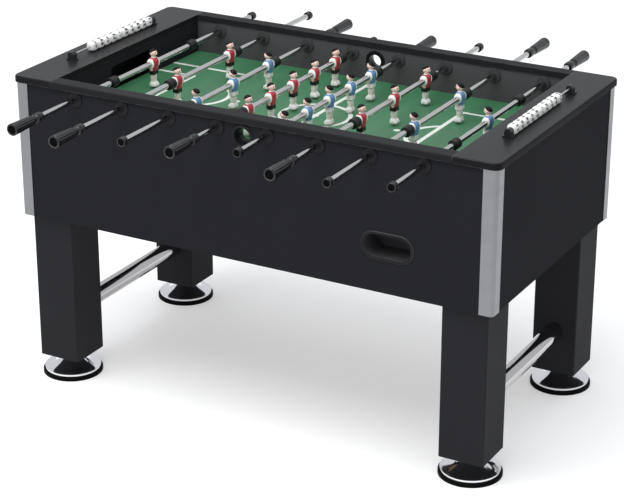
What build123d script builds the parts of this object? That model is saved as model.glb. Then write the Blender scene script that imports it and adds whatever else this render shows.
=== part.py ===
"""A foosball table: a cabinet on four legs, with eight rods of men that slide and turn.

The frame has its origin on the floor under the middle of the table. X runs along the table,
Y runs along the rods from the near side to the far side, and Z points up. Sizes are in millimetres.
"""

import os
from dataclasses import dataclass

from build123d import *

os.makedirs("parts", exist_ok=True)

# Table top
top_length = 1420.0
top_width = 772.0
table_height = 885.0
rail_thickness = 18.0
end_rail_width = 124.0
side_rail_width = 40.0
rail_corner_radius = 22.0
rail_edge_radius = 5.0

# Cabinet
rail_overhang = 6.0
trim_thickness = 2.0
trim_width = 38.0
trim_corner_radius = 12.0
panel_height = 380.0
side_panel_thickness = 30.0
end_panel_thickness = 16.0

# Playfield and goals
rod_drop = 39.0
rod_to_field = 72.0
field_thickness = 9.0
field_groove_depth = 6.0
batten_thickness = 20.0
batten_height = 40.0
batten_distance = 460.0
goal_lip = 2.0
goal_wall_thickness = 12.0
goal_width = 200.0
goal_height = 72.0
goal_corner_radius = 14.0

# Ball chutes
chute_wall = 4.0
chute_height = 40.0
chute_side_width = 64.0
chute_start_drop = 45.0
chute_goal_fall = 30.0
chute_side_fall = 24.0
chute_end_room = 4.0
drop_hole_size = 46.0

# Ball entry and return cups
entry_drop = 53.0
entry_flange_radius = 32.0
entry_flange_thickness = 3.0
entry_sleeve_radius = 25.0
entry_mouth_radius = 22.5
entry_bore_radius = 18.2
entry_ring_radius = 29.0
return_leg_room = 71.0
return_rise = 125.0
return_bezel_length = 148.0
return_bezel_height = 76.0
return_bezel_thickness = 3.0
return_bezel_margin = 5.0
return_wall = 3.0
return_depth = 78.0

# Rods
goalkeeper_setback = 78.4
rod_diameter = 15.9
rod_wall = 2.0
pin_diameter = 4.0
pin_clearance = 0.05
running_clearance = 0.1
seat_clearance = 0.05

# Rod bearings
bearing_flange_radius = 20.0
bearing_flange_thickness = 4.0
bearing_flange_bevel = 1.2
bearing_sleeve_radius = 13.0
bearing_ring_thickness = 4.0

# Men
man_reach = 66.0
man_crown = 40.0
man_width = 36.0
chest_wall = 5.0
arm_groove_width = 1.4
arm_groove_depth = 2.2
arm_groove_spacing = 25.0
arm_groove_height = 20.0
arm_groove_drop = 7.0

# Bumpers
bumper_radius = 15.0
bumper_length = 28.0
bumper_bevel = 2.0
bumper_gap = 2.0
stop_gap = 0.3
goalkeeper_bumper_share = 0.563

# Grips and end caps
grip_length = 128.0
collar_radius = 17.0
collar_length = 14.0
neck_radius = 11.5
neck_length = 8.0
barrel_radius = 18.5
barrel_end_radius = 16.5
flute_count = 14
flute_radius = 3.0
flute_depth = 1.2
flute_margin = 6.0
grip_end_recess_radius = 12.0
grip_end_recess_depth = 2.5
grip_end_wall = 12.0
cap_radius = 12.0
cap_length = 18.0
cap_bevel = 2.5
cap_end_wall = 4.0

# Legs, stretchers and levellers
leg_size = 126.0
leg_inset = 20.0
leg_bottom = 60.0
leg_edge_bevel = 3.0
tongue_thickness = 40.0
tongue_height = 113.0
bolt_diameter = 8.0
bolt_head_radius = 7.5
bolt_head_height = 6.0
bolt_spacing = 70.0
bolt_rise = 60.0
bolt_bite = 18.0
bolt_clearance = 0.2
stretcher_diameter = 51.0
stretcher_wall = 2.0
stretcher_height = 182.0
stretcher_socket = 10.0
socket_clearance = 0.3
foot_radius = 84.0
foot_pad_height = 12.0
foot_pad_bevel = 3.0
bell_rim_radius = 79.0
bell_rim_height = 6.0
bell_neck_radius = 24.0
bell_shoulder_drop = 9.0
bell_hollow = 9.0
stud_radius = 6.0
stud_hole_depth = 70.0
stud_end_room = 9.0
stud_clearance = 0.3
leveller_gap = 0.3

# Score counters
bead_size = 26.0
bead_length = 29.6
bead_pitch = 30.0
bead_bevel = 6.0
bead_end_bevel = 3.0
bead_bore_radius = 2.5
beads_per_counter = 10
bead_room = 72.0
bead_clearance = 1.0
bead_gap = 0.3
wire_radius = 2.0
post_thickness = 18.0
post_foot_width = 28.0
post_head_radius = 9.0
post_foot_height = 4.0

# Heights and half sizes that follow from the sizes above
rail_bottom = table_height - rail_thickness
trim_half_length = top_length / 2 - rail_overhang
trim_half_width = top_width / 2 - rail_overhang
panel_half_length = trim_half_length - trim_thickness
panel_half_width = trim_half_width - trim_thickness
panel_bottom = rail_bottom - panel_height
side_inner = panel_half_width - side_panel_thickness
end_inner = panel_half_length - end_panel_thickness
side_rail_half_length = top_length / 2 - end_rail_width
rod_height = table_height - rod_drop
rod_radius = rod_diameter / 2
field_top = rod_height - rod_to_field
field_bottom = field_top - field_thickness
goal_wall_inner = side_rail_half_length + goal_lip
goal_wall_outer = goal_wall_inner + goal_wall_thickness
entry_height = table_height - entry_drop
bore_radius = rod_radius + running_clearance
leg_centre_x = trim_half_length - leg_inset - leg_size / 2
leg_centre_y = trim_half_width - leg_inset - leg_size / 2
end_rail_middle = top_length / 2 - end_rail_width / 2
wire_height = table_height + bead_size / 2 + bead_clearance
counter_half_length = (beads_per_counter * bead_pitch + bead_room) / 2


@dataclass
class Rod:
    """One rod: how many men, which way they face, which side the grip is on, and where it rests."""

    men: int
    facing: int
    grip_side: int
    rest_share: float


# From the left end to the right end. Each team's grips are on its own side of the table, and each rod
# rests at a share of its travel from the middle.
rods = [
    Rod(men=1, facing=1, grip_side=-1, rest_share=-0.06),
    Rod(men=2, facing=1, grip_side=-1, rest_share=0.148),
    Rod(men=3, facing=-1, grip_side=1, rest_share=-0.558),
    Rod(men=5, facing=1, grip_side=-1, rest_share=0.15),
    Rod(men=5, facing=-1, grip_side=1, rest_share=-0.9),
    Rod(men=3, facing=1, grip_side=-1, rest_share=0.333),
    Rod(men=2, facing=-1, grip_side=1, rest_share=-0.031),
    Rod(men=1, facing=-1, grip_side=1, rest_share=-0.075),
]
rod_pitch = 2 * (goal_wall_inner - goalkeeper_setback) / (len(rods) - 1)
rod_positions = [rod_pitch * (index - (len(rods) - 1) / 2) for index in range(len(rods))]

# Spacing of the men on a rod as a share of the field's width, and the room that its grip and cap keep
# from the wall at full travel, by the number of men on the rod
spacing_share = {1: 0.0, 2: 0.391, 3: 0.2687, 5: 0.1695}
grip_room = {1: 4.0, 2: 33.0, 3: 35.0, 5: 43.0}
cap_room = {1: 9.0, 2: 37.0, 3: 29.0, 5: 13.0}


def men_offsets(rod):
    """Places of the men along a rod, measured from the rod's middle."""
    spacing = spacing_share[rod.men] * 2 * side_inner
    return [spacing * (index - (rod.men - 1) / 2) for index in range(rod.men)]


def bumper_offset(rod):
    """Distance from the rod's middle to the middle of each bumper."""
    if rod.men == 1:
        return goalkeeper_bumper_share * side_inner
    return men_offsets(rod)[-1] + man_width / 2 + bumper_gap + bumper_length / 2


def travel(rod):
    """How far a rod slides each way from the middle until a bumper meets a bearing's ring."""
    return side_inner - bearing_ring_thickness - stop_gap - bumper_offset(rod) - bumper_length / 2


def rest_slide(rod):
    """How far a rod's middle rests from the table's middle line."""
    return rod.rest_share * travel(rod)


def grip_end(rod):
    """Distance from the rod's middle to the outer end of its grip."""
    wall = panel_half_width + bearing_flange_thickness
    return wall + travel(rod) + grip_room[rod.men] + grip_length


def cap_end(rod):
    """Distance from the rod's middle to the outer end of its cap."""
    wall = panel_half_width + bearing_flange_thickness
    return wall + travel(rod) + cap_room[rod.men] + cap_length


def across(point, toward):
    """Plane at a point, with its normal along the rods: toward 1 is the far side, -1 the near side."""
    return Plane(origin=point, x_dir=(1, 0, 0), z_dir=(0, toward, 0))


def profile_plane(point):
    """Plane through an axis along Y: local X is the radius, and local Y runs along the axis."""
    return Plane(origin=point, x_dir=(1, 0, 0), z_dir=(0, 0, 1))


def save(piece, name):
    """Label a finished piece and write it as its own STEP file."""
    piece.part.label = name
    export_step(piece.part, f"parts/{name}.step")


# Side panels. The rods, the entry cup and the return cup pass through, and a groove takes the playfield.
return_body_length = return_bezel_length - 2 * return_bezel_margin
return_body_height = return_bezel_height - 2 * return_bezel_margin
bolt_places = [
    (side * leg_centre_x + shift, panel_bottom + bolt_rise)
    for side in (-1, 1)
    for shift in (-bolt_spacing / 2, bolt_spacing / 2)
]
panel_middle = -panel_half_width + side_panel_thickness / 2
return_position = leg_centre_x - leg_size / 2 - return_leg_room - return_bezel_length / 2
return_height = panel_bottom + return_rise

with BuildPart() as front_side_panel:
    with Locations((0, panel_middle, panel_bottom + panel_height / 2)):
        Box(2 * panel_half_length, side_panel_thickness, panel_height)
    outer_edges = front_side_panel.edges().filter_by(Axis.Z).group_by(Axis.Y)[0]
    fillet(outer_edges, trim_corner_radius - trim_thickness)
    with BuildSketch(across((0, -panel_half_width, 0), -1)):
        with Locations([(x, rod_height) for x in rod_positions]):
            Circle(bearing_sleeve_radius + seat_clearance)
        with Locations((0, entry_height)):
            Circle(entry_sleeve_radius + seat_clearance)
        with Locations((return_position, return_height)):
            SlotOverall(return_body_length + 2 * seat_clearance, return_body_height + 2 * seat_clearance)
    extrude(amount=-side_panel_thickness, mode=Mode.SUBTRACT)
    with BuildSketch(across((0, -side_inner, 0), -1)):
        with Locations((0, field_bottom + field_thickness / 2)):
            Rectangle(2 * goal_wall_outer, field_thickness)
    extrude(amount=field_groove_depth, mode=Mode.SUBTRACT)
    with BuildSketch(across((0, -side_inner, 0), -1)):
        with Locations(bolt_places):
            Circle(bolt_diameter / 2 + seat_clearance)
    extrude(amount=bolt_bite, mode=Mode.SUBTRACT)
save(front_side_panel, "front_side_panel")

with BuildPart() as rear_side_panel:
    add(front_side_panel.part, rotation=(0, 0, 180))
save(rear_side_panel, "rear_side_panel")

# End panels, between the side panels
with BuildPart() as right_end_panel:
    with Locations((end_inner + end_panel_thickness / 2, 0, panel_bottom + panel_height / 2)):
        Box(end_panel_thickness, 2 * side_inner, panel_height)
save(right_end_panel, "right_end_panel")

with BuildPart() as left_end_panel:
    add(right_end_panel.part, rotation=(0, 0, 180))
save(left_end_panel, "left_end_panel")

# Top rails: the end rails run the full width, and the side rails fit between them
with BuildPart() as right_end_rail:
    with BuildSketch(Plane.XY.offset(rail_bottom)):
        with Locations((end_rail_middle, 0)):
            Rectangle(end_rail_width, top_width)
    extrude(amount=rail_thickness)
    fillet(right_end_rail.edges().filter_by(Axis.Z).group_by(Axis.X)[-1], rail_corner_radius)
    top_edges = right_end_rail.edges().group_by(Axis.Z)[-1]
    fillet(top_edges.sort_by(Axis.X)[1:], rail_edge_radius)
save(right_end_rail, "right_end_rail")

with BuildPart() as left_end_rail:
    add(right_end_rail.part, rotation=(0, 0, 180))
save(left_end_rail, "left_end_rail")

with BuildPart() as front_top_rail:
    with BuildSketch(Plane.XY.offset(rail_bottom)):
        with Locations((0, side_rail_width / 2 - top_width / 2)):
            Rectangle(2 * side_rail_half_length, side_rail_width)
    extrude(amount=rail_thickness)
    top_edges = front_top_rail.edges().group_by(Axis.Z)[-1]
    fillet(top_edges.filter_by(Axis.X).sort_by(Axis.Y)[0], rail_edge_radius)
save(front_top_rail, "front_top_rail")

with BuildPart() as rear_top_rail:
    add(front_top_rail.part, rotation=(0, 0, 180))
save(rear_top_rail, "rear_top_rail")

# Corner trims: an angle around each upright corner of the cabinet
corners = [(x * trim_half_length, y * trim_half_width) for x in (-1, 1) for y in (-1, 1)]
with BuildPart() as corner_trims:
    with BuildSketch(Plane.XY.offset(panel_bottom)):
        RectangleRounded(2 * trim_half_length, 2 * trim_half_width, trim_corner_radius)
        RectangleRounded(
            2 * panel_half_length,
            2 * panel_half_width,
            trim_corner_radius - trim_thickness,
            mode=Mode.SUBTRACT,
        )
        with Locations(corners):
            Rectangle(2 * trim_width, 2 * trim_width, mode=Mode.INTERSECT)
    extrude(amount=panel_height)
save(corner_trims, "corner_trims")

# Playfield, held in the side panels' grooves, and the battens under it
with BuildPart() as playfield:
    with Locations((0, 0, field_bottom + field_thickness / 2)):
        Box(2 * goal_wall_outer, 2 * (side_inner + field_groove_depth), field_thickness)
save(playfield, "playfield")

with BuildPart() as field_battens:
    with Locations((-batten_distance / 2, 0), (batten_distance / 2, 0)):
        with Locations((0, 0, field_bottom - batten_height / 2)):
            Box(batten_thickness, 2 * side_inner, batten_height)
save(field_battens, "field_battens")

# Goal walls, standing on the playfield's ends under the end rails
with BuildPart() as goal_walls:
    for end in (-1, 1):
        inner_face = Plane(origin=(end * goal_wall_inner, 0, field_top), x_dir=(0, 1, 0), z_dir=(1, 0, 0))
        with BuildSketch(inner_face):
            Rectangle(2 * side_inner, rail_bottom - field_top, align=(Align.CENTER, Align.MIN))
            Rectangle(goal_width, goal_height, align=(Align.CENTER, Align.MIN), mode=Mode.SUBTRACT)
        extrude(amount=end * goal_wall_thickness)
    mouth_top = field_top + goal_height
    mouth_corners = goal_walls.edges().filter_by(Axis.X)
    fillet(mouth_corners.filter_by_position(Axis.Z, mouth_top, mouth_top), goal_corner_radius)
save(goal_walls, "goal_walls")

# Ball chutes, made of boards: one run falls along the end panel behind the goal, the next along the side
# panel to the return cup, and these panels close the runs' outer sides
goal_run_width = end_inner - goal_wall_outer - chute_end_room
goal_run_x = end_inner - goal_run_width / 2
side_run_y = -side_inner + chute_side_width / 2
goal_run_start = Vector(goal_run_x, goal_width / 2 + chute_wall, field_bottom - chute_start_drop)
goal_run_end = Vector(goal_run_x, chute_side_width - side_inner, goal_run_start.Z - chute_goal_fall)
side_run_start = Vector(end_inner - chute_end_room, side_run_y, goal_run_end.Z - 2 * chute_wall)
side_run_end = Vector(return_position + drop_hole_size / 2, side_run_y, side_run_start.Z - chute_side_fall)
goal_run = goal_run_end - goal_run_start
side_run = side_run_end - side_run_start
goal_run_plane = Plane(origin=goal_run_start, x_dir=(1, 0, 0), z_dir=goal_run)
side_run_plane = Plane(origin=side_run_start, x_dir=(0, -1, 0), z_dir=side_run)
side_board_room = chute_wall + seat_clearance
side_board_height = chute_height - side_board_room


def chute_board(middle, rise, width, height):
    """A board's cross-section, with its middle and its lower edge measured from the run's line."""
    with Locations((middle, rise)):
        Rectangle(width, height, align=(Align.CENTER, Align.MIN))


with BuildPart() as one_chute:
    with BuildSketch(goal_run_plane):
        chute_board(0, 0, goal_run_width, chute_wall)
        chute_board(chute_wall / 2 - goal_run_width / 2, side_board_room, chute_wall, side_board_height)
    extrude(amount=goal_run.length)
    with BuildSketch(goal_run_plane):
        chute_board(side_board_room / 2, side_board_room, goal_run_width - side_board_room, side_board_height)
    extrude(amount=chute_wall)
    with BuildSketch(side_run_plane):
        chute_board(0, 0, chute_side_width, chute_wall)
    extrude(amount=side_run.length)
    with BuildSketch(side_run_plane.offset(goal_run_width)):
        chute_board(chute_wall / 2 - chute_side_width / 2, side_board_room, chute_wall, side_board_height)
    extrude(amount=side_run.length - goal_run_width + drop_hole_size + chute_wall)
    with BuildSketch(side_run_plane.offset(side_run.length + drop_hole_size)):
        chute_board(side_board_room / 2, 0, chute_side_width - side_board_room, chute_height)
    extrude(amount=chute_wall)

with BuildPart() as ball_chutes:
    with PolarLocations(0, 2):
        add(one_chute.part)
save(ball_chutes, "ball_chutes")

# Ball return cups: a bezel, and a bowl behind it that is open at the top under the chute's hole
with BuildPart() as one_return_cup:
    with BuildSketch(across((return_position, -panel_half_width, return_height), -1)):
        SlotOverall(return_bezel_length, return_bezel_height)
    extrude(amount=return_bezel_thickness)
    bezel_rim = one_return_cup.faces().sort_by(Axis.Y)[0].edges()
    chamfer(bezel_rim, return_bezel_thickness / 2)
    with BuildSketch(across((return_position, -panel_half_width, return_height), -1)):
        SlotOverall(return_body_length, return_body_height)
    extrude(amount=-return_depth)
    with BuildSketch(across((return_position, -panel_half_width - return_bezel_thickness, return_height), -1)):
        SlotOverall(return_body_length - 2 * return_wall, return_body_height - 2 * return_wall)
    extrude(amount=return_wall - return_depth - return_bezel_thickness, mode=Mode.SUBTRACT)
    with BuildSketch(Plane.XY.offset(return_height)):
        with Locations((return_position, -panel_half_width + return_depth)):
            Rectangle(
                drop_hole_size,
                return_depth - side_panel_thickness - return_wall,
                align=(Align.CENTER, Align.MAX),
            )
    extrude(amount=return_body_height, mode=Mode.SUBTRACT)

with BuildPart() as ball_return_cups:
    with PolarLocations(0, 2):
        add(one_return_cup.part)
save(ball_return_cups, "ball_return_cups")

# Ball entry cups: a flanged funnel through each side panel, and the ring that holds it from inside
entry_length = side_panel_thickness + 2 * entry_flange_thickness
entry_point = (0, -panel_half_width - entry_flange_thickness, entry_height)
with BuildPart() as one_entry_cup:
    with BuildSketch(profile_plane(entry_point)):
        with BuildLine():
            Polyline(
                (entry_mouth_radius + entry_flange_thickness, 0),
                (entry_flange_radius - entry_flange_thickness / 2, 0),
                (entry_flange_radius, entry_flange_thickness / 2),
                (entry_flange_radius, entry_flange_thickness),
                (entry_sleeve_radius, entry_flange_thickness),
                (entry_sleeve_radius, entry_length),
                (entry_bore_radius, entry_length),
                (entry_bore_radius, entry_length / 2),
                (entry_mouth_radius, entry_flange_thickness / 2),
                close=True,
            )
        make_face()
    revolve(axis=Axis(entry_point, (0, 1, 0)))
    with BuildSketch(across((0, -side_inner, entry_height), 1)):
        Circle(entry_ring_radius)
        Circle(entry_sleeve_radius + seat_clearance, mode=Mode.SUBTRACT)
    extrude(amount=entry_flange_thickness)

with BuildPart() as ball_entry_cups:
    with PolarLocations(0, 2):
        add(one_entry_cup.part)
save(ball_entry_cups, "ball_entry_cups")

# Rod bearings: a flanged bush from outside each side panel, and a retaining ring inside it
bush_length = bearing_flange_thickness + side_panel_thickness + bearing_ring_thickness
with BuildPart() as one_bearing:
    bush_start = (0, -panel_half_width - bearing_flange_thickness, rod_height)
    with BuildSketch(profile_plane(bush_start)):
        with BuildLine():
            Polyline(
                (bore_radius, 0),
                (bearing_flange_radius - bearing_flange_bevel, 0),
                (bearing_flange_radius, bearing_flange_bevel),
                (bearing_flange_radius, bearing_flange_thickness),
                (bearing_sleeve_radius, bearing_flange_thickness),
                (bearing_sleeve_radius, bush_length),
                (bore_radius, bush_length),
                close=True,
            )
        make_face()
    revolve(axis=Axis(bush_start, (0, 1, 0)))
    ring_start = (0, -side_inner, rod_height)
    with BuildSketch(profile_plane(ring_start)):
        with BuildLine():
            Polyline(
                (bearing_sleeve_radius + seat_clearance, 0),
                (bearing_flange_radius, 0),
                (bearing_flange_radius, bearing_ring_thickness - bearing_flange_bevel),
                (bearing_flange_radius - bearing_flange_bevel, bearing_ring_thickness),
                (bearing_sleeve_radius + seat_clearance, bearing_ring_thickness),
                close=True,
            )
        make_face()
    revolve(axis=Axis(ring_start, (0, 1, 0)))

with BuildPart() as rod_bearings:
    with PolarLocations(0, 2):
        with Locations([(x, 0, 0) for x in rod_positions]):
            add(one_bearing.part)
save(rod_bearings, "rod_bearings")

# One man, moulded around the rod's axis and facing +X. Each section of the figure is a rounded
# rectangle: its height above the axis, depth, width, corner radius and forward shift.
chest_depth = rod_diameter + 2 * chest_wall
man_sections = [
    (-man_reach, 22.0, 25.0, 3.0, 1.5),
    (11.0 - man_reach, 18.0, 22.0, 4.0, 0.5),
    (16.0 - man_reach, 13.0, 18.0, 4.0, -0.5),
    (27.0 - man_reach, 14.5, 19.5, 4.5, 0.0),
    (-30.0, 14.0, 20.0, 4.5, 0.0),
    (-29.0, 20.5, 26.0, 5.0, 0.0),
    (-18.5, 20.0, 24.5, 5.5, 0.0),
    (-17.0, 22.0, man_width - 3.0, 6.0, 0.0),
    (-rod_radius, chest_depth, man_width - 0.5, 7.0, 0.0),
    (rod_radius, chest_depth, man_width, 7.0, 0.0),
    (13.0, 21.0, man_width - 5.0, 7.0, 0.0),
    (16.0, 13.0, 16.0, 5.0, 0.0),
    (17.5, 11.0, 12.0, 5.0, 0.5),
    (20.5, 17.0, 15.5, 6.5, 1.0),
    (28.0, 23.0, 20.5, 9.0, 0.5),
    (man_crown - 5.0, 20.5, 18.5, 8.0, 0.0),
    (man_crown, 10.0, 10.0, 4.5, -0.5),
]

with BuildPart() as one_man:
    for height, depth, width, corner, shift in man_sections:
        with BuildSketch(Plane.XY.offset(height)):
            with Locations((shift, 0)):
                RectangleRounded(depth, width, corner)
    loft(ruled=True)
    groove_x = chest_depth / 2 - arm_groove_depth / 2
    with GridLocations(2 * groove_x, arm_groove_spacing, 2, 2):
        with Locations((0, 0, -arm_groove_drop)):
            Box(arm_groove_depth, arm_groove_width, arm_groove_height, mode=Mode.SUBTRACT)
    with BuildSketch(across((0, 0, 0), 1)):
        Circle(rod_radius + seat_clearance)
    extrude(amount=man_width, both=True, mode=Mode.SUBTRACT)
    with BuildSketch(Plane.YZ):
        Circle(pin_diameter / 2 + pin_clearance)
    extrude(amount=chest_depth, both=True, mode=Mode.SUBTRACT)

# One grip, with its open end at the origin and its outer end along +Y: collar, neck and fluted barrel
barrel_start = collar_length + neck_length
with BuildPart() as one_grip:
    with BuildSketch(profile_plane((0, 0, 0))):
        with BuildLine():
            Polyline(
                (rod_radius + seat_clearance, 0),
                (collar_radius - cap_bevel, 0),
                (collar_radius, cap_bevel),
                (collar_radius, collar_length - cap_bevel),
                (neck_radius, collar_length),
                (neck_radius, barrel_start),
                (barrel_radius - cap_bevel, barrel_start + cap_bevel),
                (barrel_radius, barrel_start + flute_margin),
                (barrel_radius, grip_length / 2),
                (barrel_end_radius, grip_length - cap_bevel),
                (barrel_end_radius - cap_bevel, grip_length),
                (grip_end_recess_radius, grip_length),
                (grip_end_recess_radius, grip_length - grip_end_recess_depth),
                (0, grip_length - grip_end_recess_depth),
                (0, grip_length - grip_end_wall),
                (rod_radius + seat_clearance, grip_length - grip_end_wall),
                close=True,
            )
        make_face()
    revolve(axis=Axis.Y)
    with BuildSketch(across((0, barrel_start + flute_margin, 0), 1)):
        with PolarLocations(barrel_radius + flute_radius - flute_depth, flute_count):
            Circle(flute_radius)
    extrude(amount=grip_length - barrel_start - 2 * flute_margin, mode=Mode.SUBTRACT)

# One end cap, with its open end at the origin and its closed end along +Y
with BuildPart() as one_cap:
    with BuildSketch(profile_plane((0, 0, 0))):
        with BuildLine():
            Polyline(
                (rod_radius + seat_clearance, 0),
                (cap_radius, 0),
                (cap_radius, cap_length - cap_bevel),
                (cap_radius - cap_bevel, cap_length),
                (0, cap_length),
                (0, cap_length - cap_end_wall),
                (rod_radius + seat_clearance, cap_length - cap_end_wall),
                close=True,
            )
        make_face()
    revolve(axis=Axis.Y)

# One bumper, with its middle at the origin
with BuildPart() as one_bumper:
    with BuildSketch(profile_plane((0, 0, 0))):
        with BuildLine():
            Polyline(
                (bore_radius, -bumper_length / 2),
                (bumper_radius - bumper_bevel, -bumper_length / 2),
                (bumper_radius, bumper_bevel - bumper_length / 2),
                (bumper_radius, bumper_length / 2 - bumper_bevel),
                (bumper_radius - bumper_bevel, bumper_length / 2),
                (bore_radius, bumper_length / 2),
                close=True,
            )
        make_face()
    revolve(axis=Axis.Y)


def make_rod(number, rod, x):
    """Build the tube with its roll pins, the men, the grip and cap, and the bumpers of one rod."""
    name = f"rod_{number}"
    slide = rest_slide(rod)
    men_places = [slide + offset for offset in men_offsets(rod)]
    grip_start = slide + rod.grip_side * (grip_end(rod) - grip_length)
    cap_start = slide - rod.grip_side * (cap_end(rod) - cap_length)
    tube_grip_end = slide + rod.grip_side * (grip_end(rod) - grip_end_wall)
    tube_cap_end = slide - rod.grip_side * (cap_end(rod) - cap_end_wall)

    with BuildPart() as tube:
        with BuildSketch(across((x, tube_cap_end, rod_height), rod.grip_side)):
            Circle(rod_radius)
            Circle(rod_radius - rod_wall, mode=Mode.SUBTRACT)
        extrude(amount=abs(tube_grip_end - tube_cap_end))
        with Locations([(x, y, rod_height) for y in men_places]):
            Cylinder(
                pin_diameter / 2 + pin_clearance,
                2 * rod_diameter,
                rotation=(0, 90, 0),
                mode=Mode.SUBTRACT,
            )
        with Locations([(x, y, rod_height) for y in men_places]):
            Cylinder(pin_diameter / 2, rod_diameter + chest_wall, rotation=(0, 90, 0))
    save(tube, name)

    turn = 0 if rod.facing > 0 else 180
    with BuildPart() as men:
        with Locations([Location((x, y, rod_height), (0, 0, turn)) for y in men_places]):
            add(one_man.part)
    save(men, f"{name}_men")

    grip_turn = 0 if rod.grip_side > 0 else 180
    with BuildPart() as grip_and_cap:
        with Locations(Location((x, grip_start, rod_height), (0, 0, grip_turn))):
            add(one_grip.part)
        with Locations(Location((x, cap_start, rod_height), (0, 0, grip_turn + 180))):
            add(one_cap.part)
    save(grip_and_cap, f"{name}_grip_and_cap")

    with BuildPart() as bumpers:
        for side in (-1, 1):
            with Locations((x, slide + side * bumper_offset(rod), rod_height)):
                add(one_bumper.part)
    save(bumpers, f"{name}_bumpers")


for index, rod in enumerate(rods):
    make_rod(index + 1, rod, rod_positions[index])

# Legs: each has a socket for the stretcher, and on its top a tongue that stands inside the side panel
with BuildPart() as one_leg:
    with Locations((0, 0, (panel_bottom + leg_bottom) / 2)):
        Box(leg_size, leg_size, panel_bottom - leg_bottom)
    chamfer(one_leg.edges().filter_by(Axis.Z), leg_edge_bevel)
    with BuildSketch(across((0, leg_size / 2, stretcher_height), -1)):
        Circle(stretcher_diameter / 2 + socket_clearance)
    extrude(amount=stretcher_socket, mode=Mode.SUBTRACT)
    with BuildSketch(Plane.XY.offset(leg_bottom)):
        Circle(stud_radius + stud_clearance)
    extrude(amount=stud_hole_depth, mode=Mode.SUBTRACT)

tongue_y = side_inner - tongue_thickness / 2 - leg_centre_y
with BuildPart() as one_tongue:
    with Locations((0, -tongue_y, panel_bottom + seat_clearance + tongue_height / 2)):
        Box(leg_size - 2 * leg_edge_bevel, tongue_thickness, tongue_height)
    with BuildSketch(across((0, 0, panel_bottom + bolt_rise), -1)):
        with GridLocations(bolt_spacing, 0, 2, 1):
            Circle(bolt_diameter / 2 + bolt_clearance)
    extrude(amount=leg_size, both=True, mode=Mode.SUBTRACT)

leg_places = [
    Location((x * leg_centre_x, y * leg_centre_y, 0), (0, 0, 0 if y < 0 else 180))
    for x in (-1, 1)
    for y in (-1, 1)
]
with BuildPart() as legs:
    with Locations(leg_places):
        add(one_leg.part)
        add(one_tongue.part)
save(legs, "legs")

# Leg bolts, from inside the tongues into the side panels
bolt_head_face = -side_inner + tongue_thickness
with BuildPart() as front_leg_bolts:
    with BuildSketch(across((0, bolt_head_face, 0), -1)):
        with Locations(bolt_places):
            RegularPolygon(bolt_head_radius, 6)
    extrude(amount=-bolt_head_height)
    with BuildSketch(across((0, bolt_head_face, 0), -1)):
        with Locations(bolt_places):
            Circle(bolt_diameter / 2)
    extrude(amount=tongue_thickness + bolt_bite)

with BuildPart() as leg_bolts:
    with PolarLocations(0, 2):
        add(front_leg_bolts.part)
save(leg_bolts, "leg_bolts")

# Stretchers: a tube across each end, seated in the legs' sockets
stretcher_half_length = leg_centre_y - leg_size / 2 + stretcher_socket
with BuildPart() as stretchers:
    for end in (-1, 1):
        with BuildSketch(across((end * leg_centre_x, 0, stretcher_height), 1)):
            Circle(stretcher_diameter / 2)
            Circle(stretcher_diameter / 2 - stretcher_wall, mode=Mode.SUBTRACT)
        extrude(amount=stretcher_half_length, both=True)
save(stretchers, "stretchers")

# Levellers: a bell and threaded stud in one, and the pad that the bell stands in
collar_top = leg_bottom - leveller_gap
bell_shoulder = collar_top - bell_shoulder_drop
bell_base = foot_pad_height + seat_clearance
rim_top = bell_base + bell_rim_height
stud_top = leg_bottom + stud_hole_depth - stud_end_room
with BuildPart() as one_leveller:
    with BuildSketch(Plane.XZ):
        with BuildLine():
            Line((0, bell_base), (bell_rim_radius, bell_base))
            Line((bell_rim_radius, bell_base), (bell_rim_radius, rim_top))
            SagittaArc((bell_rim_radius, rim_top), (bell_neck_radius, bell_shoulder), bell_hollow)
            Polyline(
                (bell_neck_radius, bell_shoulder),
                (bell_neck_radius, collar_top),
                (stud_radius, collar_top),
                (stud_radius, stud_top),
                (0, stud_top),
                (0, bell_base),
            )
        make_face()
    revolve(axis=Axis.Z)

with BuildPart() as one_foot_pad:
    with BuildSketch(Plane.XY):
        Circle(foot_radius)
    extrude(amount=foot_pad_height)
    chamfer(one_foot_pad.faces().sort_by(Axis.Z)[-1].edges(), foot_pad_bevel)

leveller_names = {
    "front_left_leveller": (-leg_centre_x, -leg_centre_y),
    "front_right_leveller": (leg_centre_x, -leg_centre_y),
    "rear_left_leveller": (-leg_centre_x, leg_centre_y),
    "rear_right_leveller": (leg_centre_x, leg_centre_y),
}
for name, (x, y) in leveller_names.items():
    with BuildPart() as leveller:
        with Locations((x, y, 0)):
            add(one_leveller.part)
            add(one_foot_pad.part)
    save(leveller, name)

# Score counters: two posts and a wire on each end rail
post_y = counter_half_length + post_thickness / 2
with BuildPart() as score_rails:
    for end in (-1, 1):
        x = end * end_rail_middle
        for side in (-1, 1):
            with BuildSketch(across((x, side * post_y, table_height), -1)):
                Rectangle(post_foot_width, post_foot_height, align=(Align.CENTER, Align.MIN))
                with Locations((0, wire_height - table_height)):
                    Circle(post_head_radius)
                Rectangle(
                    2 * post_head_radius,
                    wire_height - table_height,
                    align=(Align.CENTER, Align.MIN),
                )
                with Locations((0, wire_height - table_height)):
                    Circle(wire_radius + seat_clearance, mode=Mode.SUBTRACT)
            extrude(amount=post_thickness / 2, both=True)
        with BuildSketch(across((x, 0, wire_height), 1)):
            Circle(wire_radius)
        extrude(amount=counter_half_length + post_thickness, both=True)
save(score_rails, "score_rails")

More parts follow.
